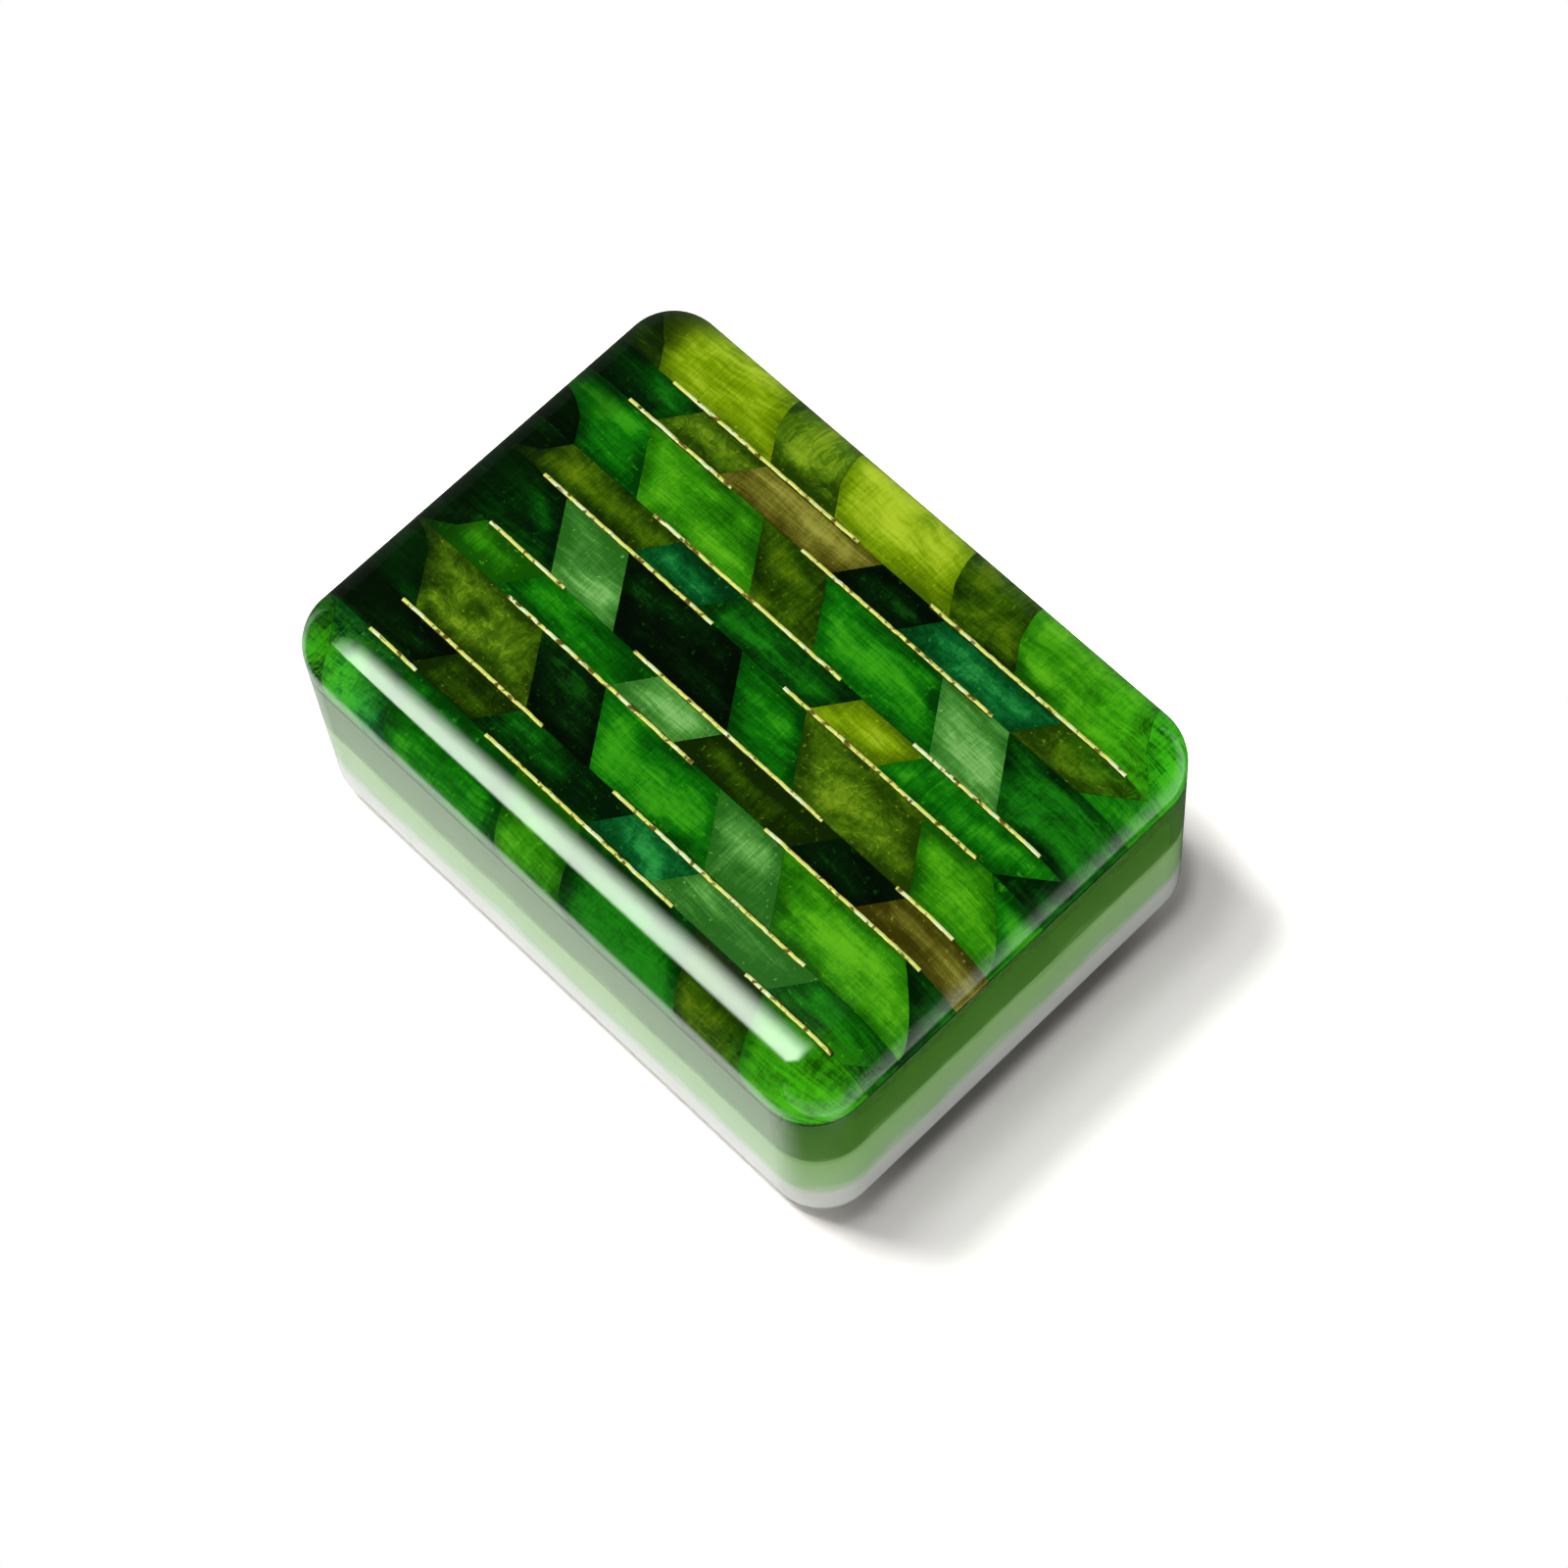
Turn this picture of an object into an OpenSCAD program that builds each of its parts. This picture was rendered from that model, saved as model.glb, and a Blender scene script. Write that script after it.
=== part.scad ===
// Mahjong tile, lying on its face with its back up.
// Plates of acrylic are bonded into one block: a white engraved face, a light green core, a dark green core
// and a clear cap with a broad rolled edge. Under the cap lies an inlay of thin dyed slips with leaning ends,
// laid in courses along the tile, with thin gold lines let into the joints between the courses.
// X runs along the tile, Y across it, and Z up from the plane that the face rests on.

/* [Tile] */
// Length of the tile, along X
tile_l = 30; // [26:0.5:40]
// Width of the tile, along Y
tile_w = 22; // [20:0.5:30]
// Radius of the four upright corners
corner_r = 2.4; // [2.4:0.1:3.5]
// Radius of the roll round the back, on the clear cap
back_r = 2.3; // [1:0.1:2.3]
// Radius round the edge of the face
face_r = 1; // [0.3:0.1:2]

/* [Layers] */
// Thickness of the white face plate
face_t = 2.7; // [2.2:0.1:4]
// Thickness of the light green core
light_t = 3.4; // [1.5:0.1:5]
// Thickness of the dark green core
dark_t = 3.8; // [1.5:0.1:6]
// Thickness of the clear cap
cap_t = 2.87; // [2.4:0.01:4]
// Thickness of each bond film between two plates
bond_t = 0.06; // [0.04:0.01:0.15]
// Thickness of the dark film that carries the inlay
backing_t = 0.1; // [0.05:0.01:0.3]

/* [Inlay] */
// Thickness of the slips and of the gold lines
slip_t = 0.25; // [0.15:0.05:0.6]
// Number of courses across the tile, wide and narrow by turns
course_n = 9; // [5:2:9]
// Width of a narrow course, as a share of a wide one
narrow_share = 0.6; // [0.4:0.02:1]
// Number of pairs of slips, a long one and a short one, in the length of the tile
pairs_n = 3; // [2:1:4]
// Length of the long slip, as a share of its pair
long_share = 0.64; // [0.5:0.02:0.7]
// Lean of the slips' ends, one way and the other by turns
lean = 35; // [0:5:45]
// Hairline joint between neighbouring slips
joint_w = 0.05; // [0.02:0.01:0.1]
// Width of a gold line
gold_w = 0.2; // [0.1:0.01:0.3]
// Length of a gold line
gold_l = 10.5; // [6:0.5:14]
// Gap between two gold lines in one joint
gold_gap = 4; // [2:0.5:8]
// Shortest gold line that is laid
gold_min_l = 2; // [1:0.5:4]

/* [Face] */
// Depth of the engraving
engrave_t = 0.45; // [0.3:0.05:0.9]
// Thickness of the paint on the floor of the engraving
paint_t = 0.3; // [0.1:0.05:0.3]
// Outer radius of a pip
pip_r = 3.6; // [3:0.1:4]
// Width of the ring round a pip
ring_w = 0.55; // [0.3:0.05:0.7]
// Radius of the dot at the middle of a pip
core_r = 0.9; // [0.5:0.05:1]
// Number of petals round the dot
petal_n = 8; // [5:1:9]
// Width of a petal at its middle
petal_w = 0.72; // [0.4:0.02:0.8]
// Gap between a petal and the dot or the ring
petal_gap = 0.32; // [0.2:0.02:0.5]
// Margin from the ends of the tile to the corner pips
end_margin = 2.8; // [2:0.1:3.4]
// Margin from the long sides of the tile to the corner pips
side_margin = 2.2; // [2:0.1:2.6]

/* [Hidden] */
$fn = 96;
// Cuts run this far past the surface that they open
overrun = 1;

// The stack, from the face up
face_bond_z = face_t;
light_z = face_bond_z + bond_t;
core_bond_z = light_z + light_t;
dark_z = core_bond_z + bond_t;
backing_z = dark_z + dark_t;
inlay_z = backing_z + backing_t;
cap_bond_z = inlay_z + slip_t;
cap_z = cap_bond_z + bond_t;

// A rolled edge is never larger than the corner or the plate that it is cut on
cap_roll = min(back_r, corner_r, cap_t);
face_roll = min(face_r, corner_r, face_t);

// Courses: the outer ones are wide, and a narrow one lies between each two wide ones
wide_n = ceil(course_n / 2);
narrow_n = floor(course_n / 2);
wide_w = tile_w / (wide_n + narrow_n * narrow_share);
function course_w(i) = i % 2 == 0 ? wide_w : wide_w * narrow_share;
function course_y(i) = wide_w * (ceil(i / 2) + floor(i / 2) * narrow_share) - tile_w / 2;

// Bond: a long and a short slip by turns, and each course is stepped along from the one before it
pair_l = tile_l / pairs_n;
long_l = pair_l * long_share;
short_l = pair_l - long_l;
pair_step_share = 0.68;
pair_start_share = 0.45;
slips_in_course = 2 * pairs_n + 2;
function fraction(v) = v - floor(v);
function course_x(i) = -tile_l / 2 - pair_l * fraction(i * pair_step_share + pair_start_share);
function slip_x(i, k) = course_x(i) + floor(k / 2) * pair_l + abs(k % 2) * long_l;
function slip_l(k) = k % 2 == 0 ? long_l : short_l;

// Gold lines are stepped along in the same way, and stop where the rolled edge of the cap begins
gold_pitch = gold_l + gold_gap;
gold_step_share = 0.37;
gold_start_share = 0.25;
gold_end_x = tile_l / 2 - cap_roll;
function gold_x(i, k) = gold_pitch * (k + fraction(i * gold_step_share + gold_start_share)) - tile_l / 2;

// Dye of each slip, course by course from -Y and slip by slip from -X, as a number in TONES
TONES = [
  "#06180a", "#0c4a12", "#12802a", "#1a7a44", "#2f9a26",
  "#6fa968", "#5c7c18", "#3b5808", "#9bb426", "#74702a",
];
INK = 0; FOREST = 1; EMERALD = 2; JADE = 3; LEAF = 4; SAGE = 5; MOSS = 6; OLIVE = 7; LIME = 8; BRONZE = 9;
dyes = [
  [FOREST, JADE, EMERALD, LEAF, FOREST, OLIVE, LEAF, EMERALD],
  [INK, OLIVE, FOREST, JADE, SAGE, EMERALD, FOREST, MOSS],
  [LEAF, FOREST, MOSS, INK, EMERALD, SAGE, LEAF, FOREST],
  [INK, LEAF, EMERALD, SAGE, OLIVE, INK, BRONZE, FOREST],
  [FOREST, SAGE, INK, EMERALD, MOSS, LEAF, EMERALD, FOREST],
  [JADE, INK, OLIVE, JADE, FOREST, LIME, EMERALD, FOREST],
  [INK, EMERALD, LEAF, OLIVE, EMERALD, SAGE, FOREST, LEAF],
  [FOREST, MOSS, BRONZE, INK, JADE, MOSS, EMERALD, LIME],
  [FOREST, OLIVE, LIME, MOSS, LIME, OLIVE, LEAF, EMERALD],
];
function dye_of(i, k) = dyes[i][(k + len(dyes[i])) % len(dyes[i])];

// Pips: one in the middle and four at the corners. A petal is the lens where two circles cross.
ring_in_r = pip_r - ring_w;
petal_l = ring_in_r - core_r - 2 * petal_gap;
petal_at = (core_r + ring_in_r) / 2;
petal_arc_r = (petal_l * petal_l + petal_w * petal_w) / (4 * petal_w);
pip_x = tile_l / 2 - end_margin - pip_r;
pip_y = tile_w / 2 - side_margin - pip_r;
GREEN_PIPS = [[-pip_x, -pip_y], [pip_x, pip_y]];
BLUE_PIPS = [[-pip_x, pip_y], [pip_x, -pip_y]];
RED_PIPS = [[0, 0]];

// Quarter of a disc, with its corner at the origin
module quarter_disc(r) {
  intersection() {
    circle(r);
    square(r);
  }
}

// The tile's outline in plan
module outline() {
  straight_l = tile_l - 2 * corner_r;
  straight_w = tile_w - 2 * corner_r;
  square([tile_l, straight_w], center = true);
  square([straight_l, tile_w], center = true);
  for (sx = [0, 1], sy = [0, 1])
    mirror([sx, 0]) mirror([0, sy])
      translate([straight_l / 2, straight_w / 2]) quarter_disc(corner_r);
}

// A flat plate or film with the tile's outline
module plate(z, t) {
  translate([0, 0, z]) linear_extrude(t) outline();
}

// Section through the outer corner_r of a plate whose upper edge is rolled
module rolled_section(t, roll) {
  square([corner_r, t - roll]);
  square([corner_r - roll, t]);
  translate([corner_r - roll, t - roll]) quarter_disc(roll);
}

// A plate with its upper edge rolled all round: the section is drawn along each side and turned about each corner
module rolled_plate(t, roll) {
  straight_l = tile_l - 2 * corner_r;
  straight_w = tile_w - 2 * corner_r;
  translate([-straight_l / 2, -straight_w / 2, 0]) cube([straight_l, straight_w, t]);
  for (turn = [0, 180]) rotate(turn) {
    translate([straight_l / 2, straight_w / 2, 0]) rotate([90, 0, 0])
      linear_extrude(straight_w) rolled_section(t, roll);
    translate([-straight_l / 2, straight_w / 2, 0]) rotate([90, 0, 90])
      linear_extrude(straight_l) rolled_section(t, roll);
    translate([straight_l / 2, straight_w / 2, 0]) rotate_extrude(angle = 90) rolled_section(t, roll);
    translate([-straight_l / 2, straight_w / 2, 0]) rotate(90)
      rotate_extrude(angle = 90) rolled_section(t, roll);
  }
}

// Pip parts in plan
module pip_ring() {
  difference() {
    circle(pip_r);
    circle(ring_in_r);
  }
}

module petal() {
  intersection_for(side = [-1, 1])
    translate([petal_at, side * (petal_arc_r - petal_w / 2)]) circle(petal_arc_r);
}

module pip_flower() {
  pip_ring();
  for (k = [0 : petal_n - 1]) rotate(k * 360 / petal_n) petal();
}

module flowers(places) {
  for (p = places) translate(p) pip_flower();
}

module dots(places) {
  for (p = places) translate(p) circle(core_r);
}

// White plate, engraved from below
module face_plate() {
  all_pips = concat(GREEN_PIPS, BLUE_PIPS, RED_PIPS);
  color("#f3f4ef") difference() {
    translate([0, 0, face_t]) mirror([0, 0, 1]) rolled_plate(face_t, face_roll);
    translate([0, 0, -overrun]) linear_extrude(engrave_t + overrun) {
      flowers(all_pips);
      dots(all_pips);
    }
  }
}

// Paint lies against the floor of the engraving and stops short of the face
module paint_coat() {
  translate([0, 0, engrave_t - paint_t]) linear_extrude(paint_t) children();
}

module face_paint_green() {
  color("#157a3c") paint_coat() {
    flowers(GREEN_PIPS);
    dots(RED_PIPS);
  }
}

module face_paint_blue() {
  color("#1c3f8f") paint_coat() flowers(BLUE_PIPS);
}

module face_paint_red() {
  color("#c0271f") paint_coat() {
    flowers(RED_PIPS);
    dots(concat(GREEN_PIPS, BLUE_PIPS));
  }
}

module face_bond_film() {
  color("#dfe9d6") plate(face_bond_z, bond_t);
}

module light_core() {
  color("#9cc489") plate(light_z, light_t);
}

module core_bond_film() {
  color("#6f9c5c") plate(core_bond_z, bond_t);
}

module dark_core() {
  color("#4c7c3a") plate(dark_z, dark_t);
}

module inlay_backing_film() {
  color("#0b160c") plate(backing_z, backing_t);
}

// Gold lines in the joint below course i, in plan, with the clearance that is asked for all round
module gold_in_joint(i, clearance) {
  for (k = [-1 : ceil(tile_l / gold_pitch)]) {
    from = max(gold_x(i, k), -gold_end_x);
    to = min(gold_x(i, k) + gold_l, gold_end_x);
    if (to - from > gold_min_l)
      translate([from - clearance, course_y(i) - gold_w / 2 - clearance])
        square([to - from + 2 * clearance, gold_w + 2 * clearance]);
  }
}

module gold_lines() {
  color("#d9b24a") translate([0, 0, inlay_z]) linear_extrude(slip_t)
    for (i = [1 : course_n - 1]) gold_in_joint(i, 0);
}

// A block in plan whose ends lean, less half a hairline joint on each side
module leaning_block(l, w, angle) {
  inset = joint_w / 2;
  shift = w / 2 * tan(angle);
  polygon([
    [inset - shift, inset], [l - inset - shift, inset],
    [l - inset + shift, w - inset], [inset + shift, w - inset],
  ]);
}

// One slip in plan, trimmed to the tile's outline and cut back where a gold line lies along it
module slip(i, k) {
  difference() {
    intersection() {
      translate([slip_x(i, k), course_y(i)])
        leaning_block(slip_l(k), course_w(i), i % 2 == 0 ? -lean : lean);
      outline();
    }
    if (i > 0) gold_in_joint(i, joint_w / 2);
    if (i < course_n - 1) gold_in_joint(i + 1, joint_w / 2);
  }
}

// All slips of one dye
module slips(dye) {
  color(TONES[dye]) translate([0, 0, inlay_z]) linear_extrude(slip_t)
    for (i = [0 : course_n - 1], k = [-2 : slips_in_course - 1])
      if (dye_of(i, k) == dye) slip(i, k);
}

module cap_bond_film() {
  color("#eef5ee", 0.4) plate(cap_bond_z, bond_t);
}

module clear_cap() {
  color("#f4fbf4", 0.3) translate([0, 0, cap_z]) rolled_plate(cap_t, cap_roll);
}

face_plate();
face_paint_green();
face_paint_blue();
face_paint_red();
face_bond_film();
light_core();
core_bond_film();
dark_core();
inlay_backing_film();
slips(INK);  // inlay_ink
slips(FOREST);  // inlay_forest
slips(EMERALD);  // inlay_emerald
slips(JADE);  // inlay_jade
slips(LEAF);  // inlay_leaf
slips(SAGE);  // inlay_sage
slips(MOSS);  // inlay_moss
slips(OLIVE);  // inlay_olive
slips(LIME);  // inlay_lime
slips(BRONZE);  // inlay_bronze
gold_lines();
cap_bond_film();
clear_cap();
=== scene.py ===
"""Looks of a mahjong tile of bonded acrylic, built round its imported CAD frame.

The plates and the engraved face stay as the frame gives them and get their finishes here. The clear cap,
the film that bonds it, the slips of the inlay and the gold lines are made again, finer, in the places that
the frame gives them. Everything is in metres.
"""

import math

import bmesh
import bpy
from mathutils import Matrix, Vector


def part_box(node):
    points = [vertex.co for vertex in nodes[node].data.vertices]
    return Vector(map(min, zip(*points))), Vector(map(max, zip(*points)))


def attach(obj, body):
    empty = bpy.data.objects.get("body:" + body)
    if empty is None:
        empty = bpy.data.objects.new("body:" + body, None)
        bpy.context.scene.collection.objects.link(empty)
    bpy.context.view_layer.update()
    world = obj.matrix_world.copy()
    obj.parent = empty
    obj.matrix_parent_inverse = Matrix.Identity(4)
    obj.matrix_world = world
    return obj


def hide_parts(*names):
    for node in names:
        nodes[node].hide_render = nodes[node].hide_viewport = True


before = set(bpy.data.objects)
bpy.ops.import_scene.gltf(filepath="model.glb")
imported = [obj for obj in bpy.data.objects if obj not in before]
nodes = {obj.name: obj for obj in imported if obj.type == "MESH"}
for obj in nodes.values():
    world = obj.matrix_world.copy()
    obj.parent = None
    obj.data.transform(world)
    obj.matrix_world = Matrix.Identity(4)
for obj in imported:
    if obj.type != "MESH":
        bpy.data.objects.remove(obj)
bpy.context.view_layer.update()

MM = 0.001

# The tile's corners and rolled edge
CORNER_R = 2.4 * MM
ROLL_R = 2.3 * MM
CORNER_STEPS = 40
ROLL_STEPS = 40

# What lies under the cap stands this far inside its walls. The cap's underside lies this far inside the dark
# film, so that no film of air shows.
INSET = 0.015 * MM
SINK = 0.01 * MM

# Points of a CAD node nearer than this are one point, and faces that turn by less than this are one face
SAME_POINT = 0.0005 * MM
SAME_FACE = math.radians(0.5)


# Small tools

def linear(hex_colour):
    """A linear RGBA colour from an sRGB hex value."""
    parts = [int(hex_colour[i:i + 2], 16) / 255 for i in (1, 3, 5)]
    return (*[p / 12.92 if p <= 0.04045 else ((p + 0.055) / 1.055) ** 2.4 for p in parts], 1.0)


def find_socket(sockets, name):
    """The socket with this identifier, or else with this name."""
    return next((s for s in sockets if s.identifier == name), None) or sockets[name]


def add(tree, kind, settings=None, take=None):
    """Adds a node. Each setting names a property, or an input by identifier, name or number, and may be
    another node's output, which is then linked. Gives the node, or its output that take names."""
    node = tree.nodes.new(kind)
    for name, value in (settings or {}).items():
        if isinstance(name, str) and hasattr(node, name):
            setattr(node, name, value)
            continue
        socket = node.inputs[name] if isinstance(name, int) else find_socket(node.inputs, name)
        if isinstance(value, bpy.types.NodeSocket):
            tree.links.new(value, socket)
        else:
            socket.default_value = value
    return find_socket(node.outputs, take) if take else node


def eased(tree, value, begin, full, low=0.0, high=1.0):
    """Goes smoothly from low to high as a value goes from begin to full."""
    return add(tree, "ShaderNodeMapRange", {
        "interpolation_type": "SMOOTHSTEP", "Value": value, "From Min": begin, "From Max": full,
        "To Min": low, "To Max": high,
    }, "Result")


def start_material(name):
    """An empty material. Gives the material and its tree."""
    material = bpy.data.materials.new(name)
    material.use_nodes = True
    material.node_tree.nodes.clear()
    return material, material.node_tree


def end_material(tree, shader):
    """Joins the last shader to the material's output."""
    add(tree, "ShaderNodeOutputMaterial", {"Surface": shader})


def dress(piece, material):
    """Gives a piece one material all over."""
    piece.data.materials.clear()
    piece.data.materials.append(material)


def new_object(name, data):
    """An object at the origin for a mesh, a lamp or a camera."""
    thing = bpy.data.objects.new(name, data)
    bpy.context.scene.collection.objects.link(thing)
    return thing


def seat(piece, node):
    """Puts a finished piece on the tile in the place of a CAD node."""
    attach(piece, "root")
    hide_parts(node)


def merged_copy(node):
    """A mesh of a CAD node with its loose triangles joined into whole faces."""
    shape = bmesh.new()
    shape.from_mesh(nodes[node].data)
    bmesh.ops.remove_doubles(shape, verts=shape.verts, dist=SAME_POINT)
    bmesh.ops.dissolve_limit(shape, angle_limit=SAME_FACE, verts=shape.verts, edges=shape.edges)
    mesh = bpy.data.meshes.new(node)
    shape.to_mesh(mesh)
    shape.free()
    return mesh


def bake_modifiers(piece):
    """Turns a piece's modifiers into its plain mesh."""
    solved = piece.evaluated_get(bpy.context.evaluated_depsgraph_get())
    mesh = bpy.data.meshes.new_from_object(solved)
    piece.modifiers.clear()
    piece.data = mesh


def start_tree(name, inputs):
    """A geometry tree with a geometry in and out and named inputs. Gives the tree and its input node."""
    tree = bpy.data.node_groups.new(name, "GeometryNodeTree")
    tree.interface.new_socket("Geometry", in_out="INPUT", socket_type="NodeSocketGeometry")
    for label, kind in inputs.items():
        tree.interface.new_socket(label, in_out="INPUT", socket_type=kind)
    tree.interface.new_socket("Geometry", in_out="OUTPUT", socket_type="NodeSocketGeometry")
    return tree, tree.nodes.new("NodeGroupInput")


def end_tree(tree, geometry, material):
    """Ends a geometry tree in plain geometry that wears one material."""
    plain = add(tree, "GeometryNodeRealizeInstances", {"Geometry": geometry}, "Geometry")
    dressed = add(tree, "GeometryNodeSetMaterial", {"Geometry": plain, "Material": material}, "Geometry")
    add(tree, "NodeGroupOutput", {"Geometry": dressed})


def run_tree(piece, tree, values):
    """Runs a geometry tree on a piece with values for its named inputs, and keeps the plain mesh."""
    modifier = piece.modifiers.new(tree.name, "NODES")
    modifier.node_group = tree
    for item in tree.interface.items_tree:
        if item.in_out == "INPUT" and item.name in values:
            modifier[item.identifier] = values[item.name]
    bake_modifiers(piece)


# Camera, at the photograph's viewing angle

VIEW_AZIMUTH = math.radians(51.41)
VIEW_ELEVATION = math.radians(65.25)
VIEW_ROLL = math.radians(-6.745)
VIEW_DISTANCE = 183.5 * MM
AIM_HEIGHT = 7 * MM
AIM_RIGHT = 1.508 * MM
AIM_UP = -1.546 * MM
LENS_MM = 105.5
NEAREST = 1 * MM


def make_camera():
    """Stands the camera on a sphere round the aim and rolls it."""
    back = Vector((
        math.cos(VIEW_ELEVATION) * math.sin(VIEW_AZIMUTH),
        -math.cos(VIEW_ELEVATION) * math.cos(VIEW_AZIMUTH),
        math.sin(VIEW_ELEVATION),
    ))
    level = Vector((math.cos(VIEW_AZIMUTH), math.sin(VIEW_AZIMUTH), 0))
    steep = back.cross(level)
    right = level * math.cos(VIEW_ROLL) + steep * math.sin(VIEW_ROLL)
    up = back.cross(right)
    target = Vector((0, 0, AIM_HEIGHT)) + right * AIM_RIGHT + up * AIM_UP
    data = bpy.data.cameras.new("camera")
    data.lens = LENS_MM
    data.clip_start = NEAREST
    camera = new_object("camera", data)
    turn = Matrix((right, up, back)).transposed().to_4x4()
    camera.matrix_world = Matrix.Translation(target + back * VIEW_DISTANCE) @ turn
    bpy.context.scene.camera = camera


# Materials of the plates. The scale of a pattern is written as so many cells to a millimetre.

ACRYLIC_IOR = 1.49
# The dye of a plate drifts in clouds by this share of its height, and its polish leaves a faint ripple
CLOUDING = 0.12
CLOUDS = 0.33 / MM
RIPPLES, RIPPLE_DEPTH = 0.42 / MM, 0.02 * MM


def plate_acrylic(name, shades, low_z, high_z):
    """Cast acrylic, dyed in the mass and tumbled to a wet gloss. It lets light in, and near a joint painted
    light from the next plate turns its colour towards that plate's. shades pairs shares of the height with
    colours, bottom first."""
    material, tree = start_material(name)
    place = add(tree, "ShaderNodeTexCoord", take="Object")
    height = add(tree, "ShaderNodeSeparateXYZ", {"Vector": place}, "Z")
    share = add(tree, "ShaderNodeMapRange", {
        "Value": height, "From Min": low_z, "From Max": high_z,
    }, "Result")
    clouds = add(tree, "ShaderNodeTexNoise", {"Vector": place, "Scale": CLOUDS, "Detail": 3}, "Fac")
    drift = add(tree, "ShaderNodeMapRange", {
        "Value": clouds, "From Min": 0.3, "From Max": 0.7, "To Min": -CLOUDING, "To Max": CLOUDING,
    }, "Result")
    level = add(tree, "ShaderNodeMath", {"operation": "ADD", "Value": share, "Value_001": drift}, "Value")
    colour = add(tree, "ShaderNodeValToRGB", {"Fac": level})
    ramp = colour.color_ramp
    ramp.interpolation = "EASE"
    while len(ramp.elements) < len(shades):
        ramp.elements.new(1.0)
    for stop, (position, shade) in zip(ramp.elements, shades):
        stop.position = position
        stop.color = linear(shade)
    ripple = add(tree, "ShaderNodeTexNoise", {"Vector": place, "Scale": RIPPLES, "Detail": 1}, "Fac")
    bump = add(tree, "ShaderNodeBump", {
        "Height": ripple, "Strength": 0.06, "Distance": RIPPLE_DEPTH,
    }, "Normal")
    shader = add(tree, "ShaderNodeBsdfPrincipled", {
        "Base Color": colour.outputs["Color"], "Roughness": 0.08, "IOR": ACRYLIC_IOR, "Normal": bump,
    }, "BSDF")
    end_material(tree, shader)
    return material


def cured_adhesive(name, shade):
    """Cured adhesive between two plates, painted in the blend of colours that light from both plates gives
    it.
    """
    material, tree = start_material(name)
    shader = add(tree, "ShaderNodeBsdfPrincipled", {
        "Base Color": linear(shade), "Roughness": 0.15, "IOR": ACRYLIC_IOR,
    }, "BSDF")
    end_material(tree, shader)
    return material


# The film's cut edge is painted paler than its top, a painted highlight along the joint under the cap
FILM_EDGE_HIGHLIGHT = "#4c7034"
FILM_TOP = "#1a3a12"


def dark_film():
    """Dark polyester film that carries the inlay. It is dark from above, and its cut edge is painted paler,
    as a highlight.
    """
    material, tree = start_material("dark polyester film")
    normal = add(tree, "ShaderNodeNewGeometry", take="Normal")
    upward = add(tree, "ShaderNodeSeparateXYZ", {"Vector": normal}, "Z")
    flat = add(tree, "ShaderNodeMath", {"operation": "ABSOLUTE", "Value": upward}, "Value")
    colour = add(tree, "ShaderNodeMix", {
        "data_type": "RGBA", "Factor_Float": flat, "A_Color": linear(FILM_EDGE_HIGHLIGHT), "B_Color": linear(FILM_TOP),
    }, "Result_Color")
    shader = add(tree, "ShaderNodeBsdfPrincipled", {"Base Color": colour, "Roughness": 0.4}, "BSDF")
    end_material(tree, shader)
    return material


DIMPLES, DIMPLE_DEPTH = 2.6 / MM, 0.03 * MM


def face_enamel(name, shade):
    """Enamel flowed into the engraving: a satin coat that pools with a soft dimple texture."""
    material, tree = start_material(name)
    place = add(tree, "ShaderNodeTexCoord", take="Object")
    peel = add(tree, "ShaderNodeTexNoise", {"Vector": place, "Scale": DIMPLES, "Detail": 2}, "Fac")
    bump = add(tree, "ShaderNodeBump", {
        "Height": peel, "Strength": 0.25, "Distance": DIMPLE_DEPTH,
    }, "Normal")
    shader = add(tree, "ShaderNodeBsdfPrincipled", {
        "Base Color": linear(shade), "Roughness": 0.28, "IOR": 1.52, "Normal": bump,
    }, "BSDF")
    end_material(tree, shader)
    return material


# Materials of the back

def clear_acrylic():
    """Clear cast acrylic, polished: sharp reflections and a trace of green. Shadow rays pass it, so lamps
    reach what lies under it as they do through a real cap."""
    material, tree = start_material("clear polished acrylic")
    glass = add(tree, "ShaderNodeBsdfPrincipled", {
        "Base Color": linear("#fafffa"), "Roughness": 0.0, "IOR": ACRYLIC_IOR, "Transmission Weight": 1.0,
    }, "BSDF")
    open_way = add(tree, "ShaderNodeBsdfTransparent", {"Color": linear("#f6fcf6")}, "BSDF")
    shadow = add(tree, "ShaderNodeLightPath", take="Is Shadow Ray")
    shader = add(tree, "ShaderNodeMixShader", {0: shadow, 1: glass, 2: open_way}, "Shader")
    end_material(tree, shader)
    return material


def clear_adhesive():
    """Clear adhesive under the cap. It bends light as the cap does, so it shows only as a trace of haze."""
    material, tree = start_material("clear cured adhesive")
    end_material(tree, add(tree, "ShaderNodeBsdfTransparent", {"Color": linear("#f8fbf6")}, "BSDF"))
    return material


# Materials of the slips. Their patterns lie on coordinates in millimetres.

# Each slip takes its pattern from up to this far away, in millimetres
OWN_REACH = 90
# Cells along and across the slip to a millimetre: streaks 2 mm long and 0.2 mm wide, finer hairs, and rays
# square to both. The streaks sway sideways by up to SWAY, in millimetres.
STREAKS = (0.45, 4.5, 1)
HAIRS = (0.8, 15, 1)
RAYS = (11, 1, 1)
SWAY = (0, 0.3, 0)
HAIR_SHARE = 0.45
RAY_SHARE = 0.22
# A slip whose draw is above this is cut across the grain, and a slip's grain is off its length by up to this
CROSSWISE = 0.84
OFF_GRAIN = math.radians(3)


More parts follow.
